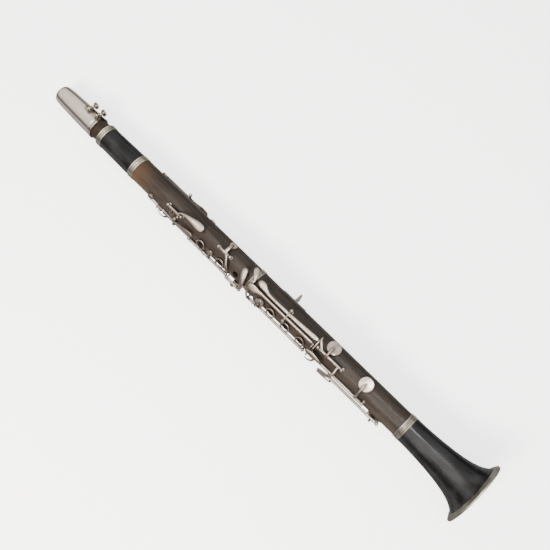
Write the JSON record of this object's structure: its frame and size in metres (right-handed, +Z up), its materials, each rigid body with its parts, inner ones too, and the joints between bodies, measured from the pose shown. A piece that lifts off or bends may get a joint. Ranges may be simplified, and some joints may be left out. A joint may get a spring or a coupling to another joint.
{
  "type": "clarinet",
  "caption": "Simple-system clarinet lying on its left-side-up rest: capped mouthpiece, barrel, two jointed wooden tubes, sprung keywork and a flared bell.",
  "frame": {"origin": "middle of the instrument's box, on the surface it lies on", "axes": "+X along the instrument towards the mouthpiece, +Y the side the tone holes face, +Z up"},
  "size_m": [0.6774, 0.0792, 0.0795],
  "materials": {
    "pad_skin": "satin",
    "cane": "satin",
    "cork": "matte",
    "grenadilla": "satin",
    "black_ebonite": "satin gloss",
    "brown_ebonite": "satin",
    "blued_steel": "blued",
    "steel": "satin",
    "nickel_plate": "polished",
    "ligature_nickel": "polished",
    "aged_silver_ring": "tarnished",
    "ferrule_silver": "polished",
    "nickel_silver": "lightly tarnished"
  },
  "bodies": {
    "instrument": {"bell": "black_ebonite", "bell_rim_ring": "aged_silver_ring", "bell_upper_ring": "ferrule_silver", "lower_joint": "grenadilla", "lower_joint_cork": "cork", "lower_joint_end_ring": "ferrule_silver", "lower_joint_posts": "nickel_silver", "lower_joint_rods": "steel", "lower_joint_socket_ring": "ferrule_silver", "lower_joint_springs": "blued_steel", "thumb_bushing": "nickel_silver", "thumb_rest": "nickel_silver", "thumb_rest_screws": "nickel_silver", "upper_joint": "grenadilla", "upper_joint_bottom_cork": "cork", "upper_joint_posts": "nickel_silver", "upper_joint_rods": "steel", "upper_joint_springs": "blued_steel", "upper_joint_top_cork": "cork"},
    "head": {"barrel": "black_ebonite", "barrel_upper_ring": "ferrule_silver", "barrel_lower_ring": "ferrule_silver", "mouthpiece": "brown_ebonite", "mouthpiece_cork": "cork", "reed": "cane", "ligature": "ligature_nickel"},
    "cap": {"mouthpiece_cap": "nickel_plate"},
    "screw_upper": {"ligature_screw_upper": "ligature_nickel"},
    "screw_lower": {"ligature_screw_lower": "ligature_nickel"},
    "e_lever": {"e_lever": "nickel_silver"},
    "f_sharp_lever": {"f_sharp_lever": "nickel_silver"},
    "register_key": {"register_key": "nickel_silver", "register_pad": "pad_skin"},
    "a_key": {"a_key": "nickel_silver", "a_pad": "pad_skin"},
    "a_flat_key": {"a_flat_key": "nickel_silver", "a_flat_pad": "pad_skin"},
    "upper_ring_key": {"upper_ring_key": "nickel_silver", "upper_ring_pad": "pad_skin"},
    "cross_key": {"cross_key": "nickel_silver", "cross_pad": "pad_skin"},
    "e_flat_key": {"e_flat_key": "nickel_silver", "e_flat_pad": "pad_skin"},
    "side_trill_key": {"side_trill_key": "nickel_silver", "side_trill_pad": "pad_skin"},
    "side_b_flat_key": {"side_b_flat_key": "nickel_silver", "side_b_flat_pad": "pad_skin"},
    "c_sharp_key": {"c_sharp_key": "nickel_silver", "c_sharp_pad": "pad_skin"},
    "lower_ring_key": {"lower_ring_key": "nickel_silver", "lower_ring_pad": "pad_skin"},
    "f_sharp_key": {"f_sharp_key": "nickel_silver", "f_sharp_pad": "pad_skin"},
    "e_key": {"e_key": "nickel_silver", "e_pad": "pad_skin"},
    "f_key": {"f_key": "nickel_silver", "f_pad": "pad_skin"}
  },
  "joints": [
    {"name": "tuning_slide", "type": "slide", "parent": "instrument", "child": "head", "axis": [0.9992, 0, -0.0401], "range_m": [0, 0.003]},
    {"name": "cap_pull", "type": "slide", "parent": "head", "child": "cap", "axis": [0.9992, 0, -0.0401], "range_m": [0, 0.085]},
    {"name": "upper_screw_turn", "type": "hinge", "parent": "head", "child": "screw_upper", "pos_m": [0.289, -0.00785, 0.03026], "axis": [0.0182, 0.891, 0.4536], "continuous": true},
    {"name": "lower_screw_turn", "type": "hinge", "parent": "head", "child": "screw_lower", "pos_m": [0.27501, -0.00785, 0.03082], "axis": [0.0182, 0.891, 0.4536], "continuous": true},
    {"name": "a_flat_hinge", "type": "hinge", "parent": "instrument", "child": "a_flat_key", "pos_m": [0.11815, 0.01192, 0.03752], "axis": [0.9992, 0, -0.0401], "range_deg": [0, 10], "stiffness_Nm_per_rad": 0.02, "springref_deg": -28.65},
    {"name": "upper_ring_hinge", "type": "hinge", "parent": "instrument", "child": "upper_ring_key", "pos_m": [0.05452, 0.01875, 0.02294], "axis": [0.9992, 0, -0.0401], "range_deg": [0, 4.5], "stiffness_Nm_per_rad": 0.02, "springref_deg": -28.65},
    {"name": "cross_hinge", "type": "hinge", "parent": "instrument", "child": "cross_key", "pos_m": [0.03934, 0.00618, 0.0439], "axis": [-0.9992, 0, 0.0401], "range_deg": [0, 6], "stiffness_Nm_per_rad": 0.02, "springref_deg": -28.65},
    {"name": "e_flat_hinge", "type": "hinge", "parent": "instrument", "child": "e_flat_key", "pos_m": [0.00876, 0.02206, 0.02998], "axis": [0.9992, 0, -0.0401], "range_deg": [0, 4], "stiffness_Nm_per_rad": 0.02, "springref_deg": -28.65},
    {"name": "side_trill_hinge", "type": "hinge", "parent": "instrument", "child": "side_trill_key", "pos_m": [0.09799, 0.01396, 0.00902], "axis": [-0.9992, 0, 0.0401], "range_deg": [0, 4], "stiffness_Nm_per_rad": 0.02, "springref_deg": -28.65},
    {"name": "side_b_flat_hinge", "type": "hinge", "parent": "instrument", "child": "side_b_flat_key", "pos_m": [0.08676, -0.00102, 0.00357], "axis": [-0.9992, 0, 0.0401], "range_deg": [0, 5], "stiffness_Nm_per_rad": 0.02, "springref_deg": -28.65},
    {"name": "c_sharp_hinge", "type": "hinge", "parent": "instrument", "child": "c_sharp_key", "pos_m": [-0.01967, 0.01817, 0.01988], "axis": [0.9992, 0, -0.0401], "range_deg": [0, 3.5], "stiffness_Nm_per_rad": 0.02, "springref_deg": -28.65},
    {"name": "lower_ring_hinge", "type": "hinge", "parent": "instrument", "child": "lower_ring_key", "pos_m": [-0.06239, 0.01875, 0.02763], "axis": [0.9992, 0, -0.0401], "range_deg": [0, 4.2], "stiffness_Nm_per_rad": 0.02, "springref_deg": -28.65},
    {"name": "f_sharp_hinge", "type": "hinge", "parent": "instrument", "child": "f_sharp_key", "pos_m": [-0.13057, 0.00939, 0.04936], "axis": [-0.9992, 0, 0.0401], "range_deg": [0, 5], "stiffness_Nm_per_rad": 0.02, "springref_deg": -28.65},
    {"name": "e_hinge", "type": "hinge", "parent": "instrument", "child": "e_key", "pos_m": [-0.14898, 0.01799, 0.0397], "axis": [0.9992, 0, -0.0401], "range_deg": [0, 3.8], "stiffness_Nm_per_rad": 0.02, "springref_deg": -28.65},
    {"name": "f_hinge", "type": "hinge", "parent": "instrument", "child": "f_key", "pos_m": [-0.17733, 0.01969, 0.03149], "axis": [-0.9992, 0, 0.0401], "range_deg": [0, 4.1], "stiffness_Nm_per_rad": 0.02, "springref_deg": -28.65},
    {"name": "register_hinge", "type": "hinge", "parent": "instrument", "child": "register_key", "pos_m": [0.12524, -0.01842, 0.0147], "axis": [-0.0377, 0.342, -0.9389], "range_deg": [0, 4.5], "stiffness_Nm_per_rad": 0.02, "springref_deg": -28.65},
    {"name": "a_hinge", "type": "hinge", "parent": "instrument", "child": "a_key", "pos_m": [0.1117, 0.01815, 0.02648], "axis": [0.0389, -0.2419, 0.9695], "range_deg": [0, 4], "stiffness_Nm_per_rad": 0.02, "springref_deg": -28.65},
    {"name": "e_lever_hinge", "type": "hinge", "parent": "instrument", "child": "e_lever", "pos_m": [-0.06358, 0.00859, 0.04795], "axis": [-0.0166, 0.9107, -0.4128], "range_deg": [0, 1.18], "stiffness_Nm_per_rad": 0.02, "springref_deg": -28.65},
    {"name": "f_sharp_lever_hinge", "type": "hinge", "parent": "instrument", "child": "f_sharp_lever", "pos_m": [-0.06358, 0.00859, 0.04795], "axis": [-0.0166, 0.9107, -0.4128], "range_deg": [0, 0.9], "stiffness_Nm_per_rad": 0.02, "springref_deg": -28.65}
  ],
  "couplings": [
    {"joint": "e_lever_hinge", "follows": "e_hinge", "ratio": 0.31053},
    {"joint": "f_sharp_lever_hinge", "follows": "f_sharp_hinge", "ratio": 0.18}
  ]
}
